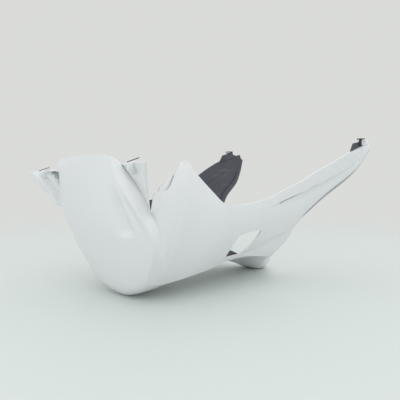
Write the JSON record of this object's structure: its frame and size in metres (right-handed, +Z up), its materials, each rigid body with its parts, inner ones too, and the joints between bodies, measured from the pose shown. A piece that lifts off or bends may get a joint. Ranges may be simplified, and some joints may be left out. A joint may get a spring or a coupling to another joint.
{
  "type": "scooter belly panel",
  "caption": "White moulded belly panel of a scooter: rounded nose shield with ears, high sides with a window in each, swept rear arms with screw lugs and a tongue.",
  "frame": {"origin": "middle of the panel's bounding box along and across, on the floor it rests on", "axes": "+X forward to the nose shield, +Y to the vehicle's left, +Z up"},
  "size_m": [0.648, 0.44, 0.3065],
  "materials": {
    "panel": "gloss white paint outside, raw dark plastic inside and on the lugs"
  },
  "bodies": {
    "root": {"belly_panel": "panel"}
  },
  "joints": []
}
